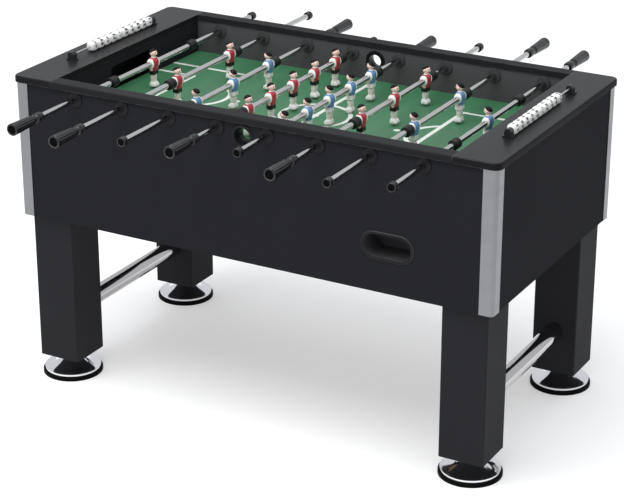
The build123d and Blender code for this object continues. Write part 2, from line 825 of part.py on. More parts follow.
# Beads: the left counter's rest at the far post, the right counter's at the near post
with BuildPart() as one_bead:
    Box(bead_size, bead_length, bead_size)
    chamfer(one_bead.edges().filter_by(Axis.Y), bead_bevel)
    chamfer(one_bead.faces().filter_by(Axis.Y).edges(), bead_end_bevel)
    with BuildSketch(across((0, 0, 0), 1)):
        Circle(bead_bore_radius)
    extrude(amount=bead_length, both=True, mode=Mode.SUBTRACT)

half_count = beads_per_counter // 2
first_bead = counter_half_length - bead_gap - bead_length / 2
bead_groups = {"first": range(half_count), "last": range(half_count, beads_per_counter)}
for end, end_name in ((-1, "left"), (1, "right")):
    for group_name, group in bead_groups.items():
        with BuildPart() as beads:
            for index in group:
                bead_y = -end * (first_bead - bead_pitch * index)
                with Locations((end * end_rail_middle, bead_y, wire_height)):
                    add(one_bead.part)
        save(beads, f"{end_name}_{group_name}_beads")
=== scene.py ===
# %% [markdown]
# # A foosball table in Blender
# The table arrives as a frame of ready made solids: cabinet, rails, legs, rods and feet, each one named and
# each one riding on a body that can move. This lesson gives those solids their finishes, and models the
# pieces that need finer shapes than the frame has: the moulded men, the grips, the bumpers and the score beads.
#
# Everything is in metres, in the same frame as the solids, so each new piece can read its place from the
# box of the solid that it stands for.

# %% Load the frame
import math

import bmesh
import bpy
from mathutils import Matrix, Vector


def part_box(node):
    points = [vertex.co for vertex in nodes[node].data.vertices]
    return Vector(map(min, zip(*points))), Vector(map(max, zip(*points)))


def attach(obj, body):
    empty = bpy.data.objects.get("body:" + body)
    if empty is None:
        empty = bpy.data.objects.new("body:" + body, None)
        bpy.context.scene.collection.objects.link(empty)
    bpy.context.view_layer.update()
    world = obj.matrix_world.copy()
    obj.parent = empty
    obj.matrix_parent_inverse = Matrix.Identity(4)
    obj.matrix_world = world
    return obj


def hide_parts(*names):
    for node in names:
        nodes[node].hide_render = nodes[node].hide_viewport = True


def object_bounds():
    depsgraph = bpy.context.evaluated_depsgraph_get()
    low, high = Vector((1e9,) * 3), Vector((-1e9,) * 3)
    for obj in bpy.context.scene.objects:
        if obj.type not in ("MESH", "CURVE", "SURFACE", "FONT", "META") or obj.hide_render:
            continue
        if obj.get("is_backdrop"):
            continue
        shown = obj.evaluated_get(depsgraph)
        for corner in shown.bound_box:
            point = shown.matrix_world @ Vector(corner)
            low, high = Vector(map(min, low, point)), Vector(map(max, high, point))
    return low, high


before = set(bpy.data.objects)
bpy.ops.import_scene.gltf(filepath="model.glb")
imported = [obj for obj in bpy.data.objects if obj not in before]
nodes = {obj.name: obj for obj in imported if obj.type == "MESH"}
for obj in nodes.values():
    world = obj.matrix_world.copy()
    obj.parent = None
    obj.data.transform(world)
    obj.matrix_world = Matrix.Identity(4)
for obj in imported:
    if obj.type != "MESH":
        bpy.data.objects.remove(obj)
cad_low, cad_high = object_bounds()
MM = 0.001
print("solids in the frame:", len(nodes), "size:", [round(v, 3) for v in cad_high - cad_low])

# %% [markdown]
# ## Small helpers for shader nodes
# A material is a tree of nodes. Writing one by hand is mostly adding a node, choosing its options and filling
# its inputs, so one function does these three things. An input takes either a plain value or another node's
# output, and in that case the two are linked. The nodes that come back most often, which calculate, stretch a
# value to another range or make a noise, get short functions of their own.


# %% Add a node
def put(tree, kind, values=None, **options):
    """Add a node, set its options, and fill its inputs with values or with other nodes' outputs."""
    made = tree.nodes.new(kind)
    for key, value in options.items():
        setattr(made, key, value)
    for key, value in (values or {}).items():
        if isinstance(value, bpy.types.NodeSocket):
            tree.links.new(value, made.inputs[key])
        else:
            made.inputs[key].default_value = value
    return made


def maths(tree, operation, *terms):
    """The result of a Math node on some numbers or outputs."""
    return put(tree, "ShaderNodeMath", dict(enumerate(terms)), operation=operation).outputs["Value"]


def map_range(tree, value, source=(0.0, 1.0), target=(0.0, 1.0)):
    """A value stretched from one range to another."""
    limits = {"From Min": source[0], "From Max": source[1], "To Min": target[0], "To Max": target[1]}
    return put(tree, "ShaderNodeMapRange", {"Value": value, **limits}).outputs["Result"]


def object_place(tree):
    """The place of a point in its object's own space, which stays with the object when that moves."""
    return put(tree, "ShaderNodeTexCoord").outputs["Object"]


def noise(tree, place, scale, detail, distortion=0.0):
    """A soft noise between 0 and 1."""
    values = {"Vector": place, "Scale": scale, "Detail": detail, "Distortion": distortion}
    return put(tree, "ShaderNodeTexNoise", values).outputs["Fac"]


# %% [markdown]
# A node group is a small tree of its own, with named sockets. It is built once, and each material that places
# it can set its inputs to other values.


# %% Start and use a node group
def start_group(name, inputs, outputs):
    """Start a shader group with number inputs and outputs, and return its tree and its two end nodes."""
    tree = bpy.data.node_groups.new(name, "ShaderNodeTree")
    for label, value in inputs.items():
        socket = tree.interface.new_socket(label, in_out="INPUT", socket_type="NodeSocketFloat")
        socket.default_value = value
    for label in outputs:
        tree.interface.new_socket(label, in_out="OUTPUT", socket_type="NodeSocketFloat")
    return tree, tree.nodes.new("NodeGroupInput"), tree.nodes.new("NodeGroupOutput")


def use_group(tree, name, values):
    """Place a finished group in a material, and return its outputs."""
    made = tree.nodes.new("ShaderNodeGroup")
    made.node_tree = bpy.data.node_groups[name]
    for key, value in values.items():
        made.inputs[key].default_value = value
    return made.outputs


# %% [markdown]
# ## Effects that many finishes share
# Real surfaces are never perfectly even. Four effects come back on almost every piece of this table, so each
# one is built once as a node group, and the finishes only choose its strength:
#
# - **surface texture**: the fine grain pressed into laminate and moulded plastic, and slow patches of sheen
# - **edge wear and highlight**: corners and edges that hands and clothes have rubbed lighter, and on the
#   rails a painted highlight along their rounded edges
# - **drawn lines**: the long fine marks that brushing or drawing leaves in metal
# - **smudges**: faint prints where the piece is handled

# %% Surface texture
tree, start, end = start_group("surface_texture", {"Grain": 900.0, "Patch": 6.0}, ["Height", "Patches"])
place = object_place(tree)
tree.links.new(noise(tree, place, start.outputs["Grain"], 3.0), end.inputs["Height"])
tree.links.new(noise(tree, place, start.outputs["Patch"], 5.0), end.inputs["Patches"])
print("nodes in", tree.name, len(tree.nodes))

# %% [markdown]
# The Bevel node answers one question: what would the normal be if every edge were a little round? Where that
# answer differs from the true normal there is an edge, and this difference becomes the mask for wear, and on
# the rails for a painted highlight along the edges as well. A noise breaks the mask up, because rubbing is
# never even along an edge.

# %% Edge wear and painted edge highlight
tree, start, end = start_group("edge_wear_and_highlight", {"Width": 0.003, "Amount": 1.0}, ["Wear"])
rounded = put(tree, "ShaderNodeBevel", {"Radius": start.outputs["Width"]}, samples=6).outputs["Normal"]
true_normal = put(tree, "ShaderNodeNewGeometry").outputs["Normal"]
agree = put(tree, "ShaderNodeVectorMath", {0: rounded, 1: true_normal}, operation="DOT_PRODUCT")
edge = map_range(tree, agree.outputs["Value"], source=(0.99, 0.8))
broken = map_range(tree, noise(tree, object_place(tree), 45.0, 6.0), source=(0.35, 0.7))
worn_and_highlit = maths(tree, "MULTIPLY", edge, broken)
tree.links.new(maths(tree, "MULTIPLY", worn_and_highlit, start.outputs["Amount"]), end.inputs["Wear"])
print("nodes in", tree.name, len(tree.nodes))

# %% [markdown]
# Drawn lines are a noise that is stretched along one direction: a large scale across the lines keeps them
# fine, and a small scale along them keeps them long.

# %% Drawn lines and smudges
tree, start, end = start_group("drawn_lines", {"X": 1.0, "Y": 1.0, "Z": 1.0}, ["Lines"])
stretch = put(tree, "ShaderNodeCombineXYZ", {axis: start.outputs[axis] for axis in "XYZ"}).outputs["Vector"]
along = put(tree, "ShaderNodeVectorMath", {0: object_place(tree), 1: stretch}, operation="MULTIPLY")
tree.links.new(noise(tree, along.outputs["Vector"], 1.0, 4.0), end.inputs["Lines"])

tree, start, end = start_group("smudges", {"Size": 30.0}, ["Smudge"])
prints = noise(tree, object_place(tree), start.outputs["Size"], 8.0, distortion=1.2)
tree.links.new(map_range(tree, prints, source=(0.45, 0.75)), end.inputs["Smudge"])
print("effects:", [group.name for group in bpy.data.node_groups])

# %% [markdown]
# ## Finishes
# Three families cover the table. **Boards and mouldings** are laminate, plastic or rubber: a colour, a grain
# that catches the light, and edges that wear. **Metals** are polished, drawn or brushed. **Paint** is what the
# men and the field wear. Each starts as a plain colour, and then gets what changes over the surface: its
# roughness, its relief, and a second colour where a mask asks for it. The Mix node keeps a set of sockets for
# each kind of data, so its colours are reached by their places.

# %% Start a material and vary it
MIX_FIRST, MIX_SECOND, MIX_RESULT = 6, 7, 2


def start_material(name, colour, **values):
    """A new material with its Principled BSDF set to a colour and some plain values."""
    material = bpy.data.materials.new(name)
    material.use_nodes = True
    shader = material.node_tree.nodes["Principled BSDF"]
    shader.inputs["Base Color"].default_value = (*colour, 1.0)
    for key, value in values.items():
        shader.inputs[key.replace("_", " ").title().replace("Ior", "IOR")].default_value = value
    return material, material.node_tree, shader


def vary_roughness(tree, shader, value, low, high):
    """Drive the roughness by a value between 0 and 1."""
    tree.links.new(map_range(tree, value, target=(low, high)), shader.inputs["Roughness"])


def emboss(tree, shader, height, strength, distance=0.3 * MM):
    """Give the shader a bump from a height."""
    bump = put(tree, "ShaderNodeBump", {"Height": height, "Strength": strength, "Distance": distance})
    tree.links.new(bump.outputs["Normal"], shader.inputs["Normal"])


def blend(tree, mask, first, second):
    """Two colours mixed by a mask. Each of them is three numbers or another node's output."""
    ends = {MIX_FIRST: first, MIX_SECOND: second}
    colours = {key: c if isinstance(c, bpy.types.NodeSocket) else (*c, 1.0) for key, c in ends.items()}
    return put(tree, "ShaderNodeMix", {"Factor": mask, **colours}, data_type="RGBA").outputs[MIX_RESULT]


def tint(tree, shader, mask, first, second):
    """Mix two colours by a mask into the base colour."""
    tree.links.new(blend(tree, mask, first, second), shader.inputs["Base Color"])


# %% [markdown]
# Some solids hold more than one finish: a side panel is painted paler on its inner face, as painted light,
# and a foot is a chrome bell on a black pad. Their places in object space tell the two apart, and a comparison
# turns a place into a mask.


# %% Masks by place
def coordinate(tree, axis):
    """One coordinate of a point in object space."""
    return put(tree, "ShaderNodeSeparateXYZ", {"Vector": object_place(tree)}).outputs[axis]


def above(tree, height):
    """A mask of what lies above a height."""
    return maths(tree, "GREATER_THAN", coordinate(tree, "Z"), height)


def near_middle(tree, reach):
    """A mask of what lies nearer to the middle than a reach along Y."""
    return maths(tree, "LESS_THAN", maths(tree, "ABSOLUTE", coordinate(tree, "Y")), reach)


# %% [markdown]
# Boards and mouldings share one function, because they differ only in their values. A finish may have a
# second, paler colour for the faces that lie within a reach along Y: painted light on faces that lie in shade.
# A polished top is a coat that only the faces that look up have, as on a board whose edges have a dull banding.

# %% Boards and mouldings
SHEEN_RANGE = 0.08


def moulded(
    name, colour, worn_and_highlit, sheen, grain=900.0, relief=0.12, wear_width=0.0025, wear=0.5, specular=0.4, painted_light_inside=None
):
    """Laminate, plastic or rubber: grain, sheen, edge wear (a painted highlight too on rails), maybe painted
    light in a reach.
    """
    material, tree, shader = start_material(name, colour, specular_ior_level=specular)
    texture = use_group(tree, "surface_texture", {"Grain": grain, "Patch": 5.0})
    worn_and_highlit_edges = use_group(tree, "edge_wear_and_highlight", {"Width": wear_width, "Amount": wear})
    # A second, paler colour within a reach is painted light, for faces that lie in shade.
    if painted_light_inside:
        inner, reach = painted_light_inside
        colour = blend(tree, near_middle(tree, reach), colour, inner)
    # The edge colour marks wear, and on the rails it is also a painted highlight.
    tint(tree, shader, worn_and_highlit_edges["Wear"], colour, worn_and_highlit)
    vary_roughness(tree, shader, texture["Patches"], sheen - SHEEN_RANGE, sheen + SHEEN_RANGE)
    emboss(tree, shader, texture["Height"], relief, 0.4 * MM)
    return material


def polish_top(material, weight, roughness):
    """Coat only the faces that look up."""
    tree = material.node_tree
    shader = tree.nodes["Principled BSDF"]
    normal = put(tree, "ShaderNodeNewGeometry").outputs["True Normal"]
    upward = put(tree, "ShaderNodeSeparateXYZ", {"Vector": normal}).outputs["Z"]
    top = map_range(tree, upward, source=(0.6, 0.9), target=(0.0, weight))
    tree.links.new(top, shader.inputs["Coat Weight"])
    shader.inputs["Coat Roughness"].default_value = roughness


# %% [markdown]
# Paint on a small moulding pools in some places and thins in others. Patches a few millimetres wide give it a
# second, darker shade there, and make the darker places a little less glossy.

# %% Paint
PAINT_RANGE = 0.1


def painted(name, colour, shade, sheen=0.32, specular=0.5):
    """Paint on a small moulding: a colour that pools a little darker, and a soft gloss."""
    material, tree, shader = start_material(name, colour, specular_ior_level=specular)
    texture = use_group(tree, "surface_texture", {"Grain": 700.0, "Patch": 220.0})
    tint(tree, shader, texture["Patches"], shade, colour)
    vary_roughness(tree, shader, texture["Patches"], sheen + PAINT_RANGE, sheen - PAINT_RANGE)
    emboss(tree, shader, texture["Height"], 0.08)
    return material


# %% [markdown]
# ## Black boards and mouldings
# The cabinet, the legs and the rails are black laminate. The rails' edges have a banding that is rubbed paler,
# and their paler colour is a painted highlight along the rounded edges as well. The rails' upper faces are
# polished. The side panels are painted paler on their inner faces, as painted light on walls that lie in shade.
# Their inner faces lie 348 mm from the middle, so a reach just past them tells the inner faces from the outer
# ones. The battens and the ball chutes under the field are plain brown board.

# %% Laminate
PANEL_INSIDE = 348.5 * MM
PANEL = (0.0205, 0.0207, 0.0238)
RUBBED = (0.045, 0.045, 0.048)
# The rails' paler edge colour is partly wear and partly a painted highlight along their rounded edges.
RAIL_EDGE_WEAR_AND_HIGHLIGHT = (0.1, 0.1, 0.105)
WORN_AND_HIGHLIT_BANDING = {"wear_width": 0.004, "wear": 1.0, "specular": 0.06}
# The inner faces of the side panels are painted paler: painted light on walls that lie in the cabinet's shade.
inner_wall_painted_light = ((0.078, 0.076, 0.08), PANEL_INSIDE)
cabinet_black = moulded("cabinet_black", PANEL, RUBBED, 0.62, specular=0.01)
side_panel_black = moulded("side_panel_black", PANEL, RUBBED, 0.62, specular=0.01, painted_light_inside=inner_wall_painted_light)
leg_black = moulded("leg_black", PANEL, RUBBED, 0.6, specular=0.08)
# On both kinds of rail the paler edge colour is a painted highlight on the rounded edges as well as wear.
end_rail_black = moulded("end_rail_black", (0.011, 0.011, 0.012), RAIL_EDGE_WEAR_AND_HIGHLIGHT, 0.6, relief=0.05, **WORN_AND_HIGHLIT_BANDING)
polish_top(end_rail_black, 0.45, 0.26)
side_rail_black = moulded("side_rail_black", (0.0165, 0.0167, 0.0188), RAIL_EDGE_WEAR_AND_HIGHLIGHT, 0.6, relief=0.1, **WORN_AND_HIGHLIT_BANDING)
polish_top(side_rail_black, 0.14, 0.45)
batten_wood = moulded("batten_wood", (0.42, 0.28, 0.15), (0.5, 0.36, 0.22), 0.7, grain=120.0, relief=0.3)
chute_board = moulded("chute_board", (0.24, 0.15, 0.08), (0.34, 0.24, 0.14), 0.6, grain=300.0, relief=0.2)
print("boards:", len(bpy.data.materials))

# %% [markdown]
# Cups, bearings, grips and bumpers are black plastic or rubber. Smooth plastic needs only a low relief, and the
# rubber a finer grain than the boards. The rings of the bearings are painted paler within the panels, and so
# are the return cups behind their bezels, whose face is 381 mm from the middle: both are painted light in
# shade.
# The plugs in the grips are dull.

# %% Plastic and rubber
BEZEL_INSIDE = 380.8 * MM
CUP = (0.007, 0.007, 0.008)
CUP_EDGE = (0.02, 0.02, 0.02)
HANDLED = (0.06, 0.06, 0.06)
# The return cups are painted paler behind their bezels: painted light in a recess that lies in shade.
cup_inside_painted_light = ((0.055, 0.055, 0.058), BEZEL_INSIDE)
# The bearing rings are painted paler within the panels: painted light to match the painted inner walls.
ring_inside_painted_light = ((0.05, 0.049, 0.051), PANEL_INSIDE)
glossy = {"relief": 0.03, "specular": 0.15}
cup_black = moulded("cup_black", CUP, CUP_EDGE, 0.36, **glossy)
return_cup_black = moulded("return_cup_black", CUP, CUP_EDGE, 0.36, painted_light_inside=cup_inside_painted_light, **glossy)
bush = {"relief": 0.06, "specular": 0.1, "painted_light_inside": ring_inside_painted_light}
bearing_black = moulded("bearing_black", (0.014, 0.014, 0.0155), HANDLED, 0.42, **bush)
grip_black = moulded("grip_black", (0.007, 0.007, 0.008), HANDLED, 0.3, grain=1500.0, specular=0.5)
plug_black = moulded("plug_black", (0.004, 0.004, 0.004), (0.01, 0.01, 0.01), 0.8, specular=0.03)
bumper_rubber = moulded("bumper_rubber", (0.005, 0.005, 0.005), (0.04, 0.04, 0.04), 0.5, grain=1500.0)
print("boards and mouldings:", len(bpy.data.materials))

# %% [markdown]
# ## Metals
# Metals get their look from what they reflect, so their colour stays almost plain. The drawn lines change the
# roughness and lift the surface a very little, and the smudges dull the polish where hands have been. The lines
# run along the rods and the stretchers, and up the trims.

# %% Polished and brushed metal
ALONG_Y = (2500.0, 18.0, 2500.0)
ALONG_Z = (2500.0, 2500.0, 12.0)


def metal(name, colour, polish, stretch, smudged=0.1, relief=0.04):
    """Polished or brushed metal with lines drawn along one direction."""
    material, tree, shader = start_material(name, colour, metallic=1.0)
    lines = use_group(tree, "drawn_lines", dict(zip("XYZ", stretch)))["Lines"]
    prints = use_group(tree, "smudges", {"Size": 25.0})["Smudge"]
    base = map_range(tree, lines, target=(polish * 0.7, polish * 1.3))
    tree.links.new(maths(tree, "MULTIPLY_ADD", prints, smudged, base), shader.inputs["Roughness"])
    emboss(tree, shader, lines, relief)
    return material


rod_steel = metal("rod_steel", (0.6, 0.595, 0.585), 0.1, ALONG_Y)
stretcher_chrome = metal("stretcher_chrome", (0.54, 0.53, 0.53), 0.07, ALONG_Y, relief=0.01)
trim_silver = metal("trim_silver", (0.24, 0.24, 0.25), 0.3, ALONG_Z, relief=0.1)
bolt_steel = metal("bolt_steel", (0.6, 0.6, 0.58), 0.3, ALONG_Z)
print("finishes so far:", len(bpy.data.materials))

# %% [markdown]
# ## The feet
# Each foot is a chrome bell on a black pad, and both are in one node of the frame. The pad ends at a known
# height, so a comparison on the height in object space tells the two apart: below it the shader is black
# plastic, above it chrome.

# %% Chrome bell on a black pad
PAD_HEIGHT = 12.02 * MM
PAD_BLACK = (0.004, 0.004, 0.004)
PAD_ROUGHNESS = 0.5
CHROME = (0.8, 0.8, 0.82)
foot_chrome, tree, shader = start_material("foot_chrome", CHROME, specular_ior_level=0.03)
is_bell = above(tree, PAD_HEIGHT)
tint(tree, shader, is_bell, PAD_BLACK, CHROME)
tree.links.new(is_bell, shader.inputs["Metallic"])
prints = use_group(tree, "smudges", {"Size": 40.0})["Smudge"]
dulled = map_range(tree, prints, target=(0.07, 0.16))
pad_or_bell = put(tree, "ShaderNodeMix", {"Factor": is_bell, "A": PAD_ROUGHNESS, "B": dulled})
tree.links.new(pad_or_bell.outputs["Result"], shader.inputs["Roughness"])
print("the pads end at (mm):", round(PAD_HEIGHT / MM, 2))

# %% [markdown]
# ## The score wire
# The posts of a score counter are black plastic, and the wire between them is steel. They share one node, so
# the shader again looks at the place: whatever lies between the posts is steel.

# %% Black posts, steel wire
POST_THICKNESS = 18.0 * MM
POST_BLACK = (0.01, 0.01, 0.011)
WIRE_STEEL = (0.7, 0.7, 0.71)
post_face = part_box("score_rails")[1].y - POST_THICKNESS
score_posts, tree, shader = start_material("score_posts", POST_BLACK)
is_wire = near_middle(tree, post_face)
tint(tree, shader, is_wire, POST_BLACK, WIRE_STEEL)
tree.links.new(is_wire, shader.inputs["Metallic"])
texture = use_group(tree, "surface_texture", {"Grain": 900.0, "Patch": 30.0})
vary_roughness(tree, shader, texture["Patches"], 0.25, 0.45)
emboss(tree, shader, texture["Height"], 0.06)
print("wire between the posts (mm):", round(2 * post_face / MM, 1))

# %% [markdown]
# ## The field
# The playing field is a board with a printed green face. The green is mottled a little by the print, and has a
# satin coat. Only the upper face is printed, so a comparison on the height leaves the rest as raw brown board.
# The white lines come later, as a thin layer of ink.

# %% Printed green
PLAIN_GREEN = (0.04, 0.15, 0.07)
MOTTLED_GREEN = ((0.0325, 0.137, 0.063), (0.0595, 0.214, 0.103))
RAW_BOARD = (0.3, 0.21, 0.13)
PRINT_DEPTH = 0.3 * MM
field_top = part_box("playfield")[1].z
field_green, tree, shader = start_material("field_green", PLAIN_GREEN, coat_weight=0.15, coat_roughness=0.3)
texture = use_group(tree, "surface_texture", {"Grain": 500.0, "Patch": 90.0})
mottled = blend(tree, texture["Patches"], *MOTTLED_GREEN)
tint(tree, shader, above(tree, field_top - PRINT_DEPTH), RAW_BOARD, mottled)
vary_roughness(tree, shader, texture["Patches"], 0.42, 0.58)
emboss(tree, shader, texture["Height"], 0.05)
line_white = painted("line_white", (0.78, 0.8, 0.76), (0.66, 0.7, 0.65), sheen=0.45)
print("the field lies at (mm):", round(field_top / MM, 1))

# %% [markdown]
# ## Dress the solids
# Every solid that keeps its own shape now takes its finish. A table of names and finishes is easier to read,
# and to change, than a long list of assignments.

# %% Give the solids their finishes
RODS = range(1, 9)
CORNERS = ("front_left", "front_right", "rear_left", "rear_right")
finishes = {
    side_panel_black: ["front_side_panel", "rear_side_panel"],
    cabinet_black: ["left_end_panel", "right_end_panel", "goal_walls"],
    end_rail_black: ["left_end_rail", "right_end_rail"],
    side_rail_black: ["front_top_rail", "rear_top_rail"],
    leg_black: ["legs"],
    trim_silver: ["corner_trims"],
    stretcher_chrome: ["stretchers"],
    field_green: ["playfield"],
    batten_wood: ["field_battens"],
    chute_board: ["ball_chutes"],
    return_cup_black: ["ball_return_cups"],
    cup_black: ["ball_entry_cups"],
    bearing_black: ["rod_bearings"],
    score_posts: ["score_rails"],
    bolt_steel: ["leg_bolts"],
    rod_steel: [f"rod_{number}" for number in RODS],
    foot_chrome: [f"{corner}_leveller" for corner in CORNERS],
}
for finish, names in finishes.items():
    for name in names:
        nodes[name].data.materials.clear()
        nodes[name].data.materials.append(finish)
print("dressed solids:", sum(len(names) for names in finishes.values()))

# %% [markdown]
# ## Building new shapes
# Most of the new pieces are one of two kinds. A **lofted** shape is a stack of rounded outlines, one above the
# other, joined by faces: good for bodies and limbs. A **turned** shape is a profile spun around the rod's axis,
# as on a lathe: good for grips and bumpers. Both add to a bmesh, so one object can hold many of them.


# %% Outlines and lofts
def outline(height, x, y, depth, width, power, count):
    """Points of a rounded outline at a height: power 2 is an ellipse, and more is squarer."""
    points = []
    for step in range(count):
        angle = 2 * math.pi * step / count
        c, s = math.cos(angle), math.sin(angle)
        across = math.copysign(abs(c) ** (2 / power), c)
        sideways = math.copysign(abs(s) ** (2 / power), s)
        points.append(Vector((x + depth * across, y + width * sideways, height)))
    return points


def bridge(mesh, rings, material, close_ends=True):
    """Join rings of points by faces, and close both ends if asked."""
    loops = [[mesh.verts.new(point) for point in ring] for ring in rings]
    faces = []
    for low, high in zip(loops, loops[1:]):
        for here in range(len(low)):
            after = (here + 1) % len(low)
            faces.append(mesh.faces.new((low[here], low[after], high[after], high[here])))
    if close_ends:
        faces.append(mesh.faces.new(list(reversed(loops[0]))))
        faces.append(mesh.faces.new(loops[-1]))
    for face in faces:
        face.material_index = material
        face.smooth = True
    return loops


def loft(mesh, sections, material, power=2.4, mirror=1, count=20):
    """Loft sections of (height, x, y, depth, width), with the sideways place mirrored if asked."""
    rings = [outline(z, x, mirror * y, depth, width, power, count) for z, x, y, depth, width in sections]
    bridge(mesh, rings, material)


# %% [markdown]
# Blender has a Screw modifier for turned shapes. Writing the rings out is as short, and it lets a flute cut
# more or less deeply at each angle and at each distance along the axis.


# %% Turned shapes
def turn(mesh, profile, start, direction, material, count=48, flute=None):
    """Spin a profile of (radius, distance) around an axis along Y that begins at a point."""
    rings = []
    for radius, distance in profile:
        ring = []
        for step in range(count):
            angle = 2 * math.pi * step / count
            reach = radius - (flute(angle, distance) if flute else 0.0)
            across, up = reach * math.cos(angle), -direction * reach * math.sin(angle)
            ring.append(Vector(start) + Vector((across, direction * distance, up)))
        rings.append(ring)
    bridge(mesh, rings, material)


def in_metres(profile):
    """A profile in millimetres, turned to metres."""
    return [(radius * MM, distance * MM) for radius, distance in profile]


# %% [markdown]
# A bmesh is only a sketch of a mesh. To become a piece of the table it is written to an object, takes its
# materials, and rides on the body that carries it. If it shows a node of the frame in a finer shape, it
# replaces that node, which is hidden.


# %% Merge and finish a piece
def merge(mesh, piece):
    """Add a finished bmesh to another one."""
    data = bpy.data.meshes.new("merged")
    piece.to_mesh(data)
    piece.free()
    mesh.from_mesh(data)
    bpy.data.meshes.remove(data)


def finish_piece(name, mesh, materials, body, stands_for=(), crease=40.0):
    """Turn a bmesh into a named object that rides on a body."""
    bmesh.ops.recalc_face_normals(mesh, faces=mesh.faces)
    data = bpy.data.meshes.new(name)
    mesh.to_mesh(data)
    mesh.free()
    for material in materials:
        data.materials.append(material)
    data.set_sharp_from_angle(angle=math.radians(crease))
    piece = bpy.data.objects.new(name, data)
    bpy.context.scene.collection.objects.link(piece)
    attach(piece, body)
    if stands_for:
        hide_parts(*stands_for)


# %% [markdown]
# ## The field's lines
# The lines are printed white ink. Here they are thin strips a tenth of a millimetre above the board: straight
# strips for the boxes and the middle line, and arcs for the circle and the two bows in front of the boxes.
# Where two of them cross, one lies a hair higher, so that no two faces share a plane.

# %% Strips, arcs and dots of ink
LINE = 12.0 * MM
FIELD_END = 587.5 * MM
FIELD_SIDE = 347.5 * MM
ink = bmesh.new()


def strip(x0, y0, x1, y1, lift=0.1):
    """A straight strip of ink between two corners, with its lift above the board in millimetres."""
    z = field_top + lift * MM
    corners = [(x0, y0, z), (x1, y0, z), (x1, y1, z), (x0, y1, z)]
    ink.faces.new([ink.verts.new(corner) for corner in corners])


def arc(x, y, radius, first, last, width=LINE, lift=0.14, steps=48):
    """A curved strip of ink around a centre, between two angles in degrees."""
    z = field_top + lift * MM
    edges = []
    for step in range(steps + 1):
        angle = math.radians(first + (last - first) * step / steps)
        c, s = math.cos(angle), math.sin(angle)
        radii = (radius - width / 2, radius + width / 2)
        edges.append([ink.verts.new((x + r * c, y + r * s, z)) for r in radii])
    for here, after in zip(edges, edges[1:]):
        ink.faces.new((here[0], here[1], after[1], after[0]))


def dot(x, radius, lift=0.14):
    """A round spot on the field's long middle line."""
    arc(x, 0, radius / 2, 0, 360, width=radius, lift=lift)


def box_lines(end, front, half_width):
    """The three lines of a box in front of a goal."""
    inner = end * front
    x0, x1 = sorted((end * FIELD_END, inner))
    for y in (-half_width, half_width):
        strip(x0, y - LINE / 2, x1, y + LINE / 2)
    strip(inner - LINE / 2, -half_width, inner + LINE / 2, half_width, lift=0.12)


# %% [markdown]
# A field has a middle line with a circle around its middle point. At each end it has a large and a small box, a
# bow and a spot. The two ends are alike, so one loop draws both, and the sign of the end mirrors them.

# %% White lines
CIRCLE = 95.0 * MM
BOXES = ((335.0 * MM, 215.0 * MM), (468.0 * MM, 137.0 * MM))
BOW_CENTRE, BOW_ANGLE = 377.0 * MM, 64.0
SPOT_PLACE, SPOT_RADIUS = 245.0 * MM, 9.0 * MM
strip(-LINE / 2, -FIELD_SIDE, LINE / 2, FIELD_SIDE)
arc(0, 0, CIRCLE, 0, 360)
dot(0, 10.0 * MM, lift=0.16)
for end in (-1, 1):
    for front, half_width in BOXES:
        box_lines(end, front, half_width)
    inward = 180 if end > 0 else 0
    arc(end * BOW_CENTRE, 0, CIRCLE, inward - BOW_ANGLE, inward + BOW_ANGLE)
    dot(end * SPOT_PLACE, SPOT_RADIUS)
print("faces of ink:", len(ink.faces))
finish_piece("field_lines", ink, [line_white], "cabinet")

# %% [markdown]
# ## The men
# Each man is moulded in one piece around the rod and then painted. The rod's axis is the origin of the figure,
# which faces along X and stands along Z. Sizes in this section are in millimetres, because a figure is easier
# to shape in them. The legs stand close together and end in a broad foot that strikes the ball, the arms lie
# along the body, and the chest is deep enough to hold the rod.
#
# Each tuple is one outline: height, forward shift, sideways shift, half depth and half width.

# %% Outlines of the legs and shorts
SKIN, HAIR, SHIRT, SLEEVE, SHORTS, LEG, SHOE, MARK = range(8)
shoe = [
    (-66.0, 1.5, 6.2, 9.8, 5.4),
    (-64.8, 1.5, 6.3, 10.8, 6.1),
    (-61.0, 1.5, 6.2, 10.7, 6.2),
    (-57.0, 0.6, 5.9, 9.0, 5.7),
    (-54.5, -0.5, 5.3, 7.0, 5.1),
    (-52.5, -0.7, 4.9, 6.0, 4.6),
]
leg = [
    (-54.0, -0.7, 4.8, 5.4, 4.4),
    (-51.0, -0.5, 4.7, 5.7, 4.5),
    (-45.0, -0.5, 4.8, 6.7, 5.0),
    (-39.5, 0.0, 4.8, 6.4, 4.8),
    (-36.5, 0.2, 4.8, 6.7, 4.9),
    (-33.0, 0.1, 5.0, 7.0, 5.1),
    (-27.0, 0.0, 5.2, 7.6, 5.4),
]
sock_top = [
    (-42.0, -0.3, 4.8, 6.5, 4.9),
    (-41.2, -0.2, 4.8, 7.0, 5.4),
    (-39.2, 0.0, 4.8, 6.9, 5.4),
    (-38.4, 0.1, 4.8, 6.4, 4.8),
]
shorts_leg = [
    (-31.6, 0.0, 6.1, 8.8, 6.0),
    (-30.8, 0.0, 6.2, 10.0, 6.8),
    (-26.0, 0.0, 6.0, 9.9, 6.6),
    (-21.0, 0.0, 5.6, 9.6, 6.3),
    (-15.0, 0.0, 5.4, 9.2, 6.1),
]
shorts_seat = [
    (-26.0, 0.0, 0.0, 8.0, 9.0),
    (-21.0, 0.0, 0.0, 9.7, 11.6),
    (-14.0, 0.0, 0.0, 9.6, 12.0),
]
print("lowest outline of a man (mm):", shoe[0][0])

# %% [markdown]
# Above the shorts come the shirt, the arms and the neck. One skin that branches into limbs is hard to write
# down. Closed shapes that overlap are easier, and a crease where two of them meet looks like a garment's edge.

